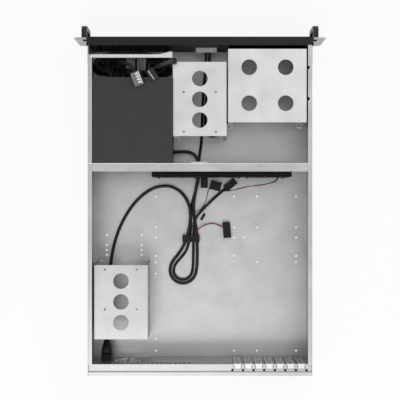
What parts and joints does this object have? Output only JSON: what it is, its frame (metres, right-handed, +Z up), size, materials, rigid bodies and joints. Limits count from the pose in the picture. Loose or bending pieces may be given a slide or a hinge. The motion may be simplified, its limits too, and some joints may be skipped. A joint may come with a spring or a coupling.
{
  "type": "rackmount server case",
  "caption": "Open two-unit rackmount server case with drive brackets, fan row, power supply and loose internal cables.",
  "frame": {"origin": "centre of the underside's bounding box", "axes": "+Z up, the front faces -Y, the power supply stands on the +X side"},
  "size_m": [0.4826, 0.674, 0.0961],
  "materials": {
    "zinc_steel": "zinc-coated steel sheet, satin grey",
    "bracket_steel": "zinc-coated steel sheet, lighter and more even",
    "black_panel": "fine-textured black powder coat",
    "black_carrier": "black powder coat",
    "psu_steel": "dark grey enamelled steel",
    "ear_metal": "natural brushed aluminium",
    "handle_metal": "satin black enamel",
    "black_plastic": "moulded black plastic",
    "grey_plastic": "moulded pale plastic",
    "dark_plastic": "moulded dark grey plastic",
    "cable_sheath": "extruded black PVC",
    "circuit_board": "solder-masked board",
    "plated_contact": "nickel-plated brass",
    "light_window": "clear moulded plastic"
  },
  "bodies": {
    "case": {"aux_harness": "cable_sheath", "aux_plug": "dark_plastic", "bay_cover": "black_plastic", "board_harness": "cable_sheath", "board_plug": "grey_plastic", "cable_clip": "grey_plastic", "cable_strap": "black_plastic", "chassis_base": "zinc_steel", "control_board": "circuit_board", "cross_bar": "zinc_steel", "drive_bracket_front": "bracket_steel", "drive_bracket_rear": "bracket_steel", "drive_lead": "cable_sheath", "drive_plug": "black_plastic", "ear_left": "ear_metal", "ear_right": "ear_metal", "fan_carrier": "black_carrier", "fan_frame_1": "black_plastic", "fan_frame_2": "black_plastic", "fan_frame_3": "black_plastic", "front_bulkhead": "black_panel", "front_panel": "black_panel", "handle_left": "handle_metal", "handle_right": "handle_metal", "harness_bush": "black_plastic", "header_plug": "black_plastic", "inlet_pins": "plated_contact", "io_plate": "zinc_steel", "lead_bush": "black_plastic", "lead_plug": "black_plastic", "mains_inlet": "black_plastic", "mains_lead": "cable_sheath", "optical_cage": "bracket_steel", "psu_brace": "bracket_steel", "psu_core": "circuit_board", "psu_cover": "psu_steel", "psu_tray": "psu_steel", "rear_panel": "zinc_steel", "side_plug_1": "dark_plastic", "side_plug_2": "dark_plastic", "sleeved_harness": "cable_sheath", "slot_cover_1": "bracket_steel", "slot_cover_2": "bracket_steel", "slot_cover_3": "bracket_steel", "slot_cover_4": "bracket_steel", "slot_cover_5": "bracket_steel", "slot_cover_6": "bracket_steel", "slot_cover_7": "bracket_steel", "status_lights": "light_window", "usb_cable": "cable_sheath", "usb_sockets": "plated_contact"},
    "fan_rotor_1": {"fan_rotor_1": "black_plastic"},
    "fan_rotor_2": {"fan_rotor_2": "black_plastic"},
    "fan_rotor_3": {"fan_rotor_3": "black_plastic"},
    "power_button": {"power_button": "black_plastic"},
    "reset_button": {"reset_button": "black_plastic"}
  },
  "joints": [
    {"name": "fan_spin_1", "type": "hinge", "parent": "case", "child": "fan_rotor_1", "pos_m": [0.046, -0.0585, 0.0424], "axis": [0, 1, 0], "continuous": true},
    {"name": "fan_spin_2", "type": "hinge", "parent": "case", "child": "fan_rotor_2", "pos_m": [-0.042, -0.0585, 0.0424], "axis": [0, 1, 0], "continuous": true},
    {"name": "fan_spin_3", "type": "hinge", "parent": "case", "child": "fan_rotor_3", "pos_m": [-0.13, -0.0585, 0.0424], "axis": [0, 1, 0], "continuous": true},
    {"name": "power_press", "type": "slide", "parent": "case", "child": "power_button", "axis": [0, 1, 0], "range_m": [0, 0.0012], "stiffness_N_per_m": 400, "springref_m": -0.002},
    {"name": "reset_press", "type": "slide", "parent": "case", "child": "reset_button", "axis": [0, 1, 0], "range_m": [0, 0.001], "stiffness_N_per_m": 300, "springref_m": -0.002}
  ]
}
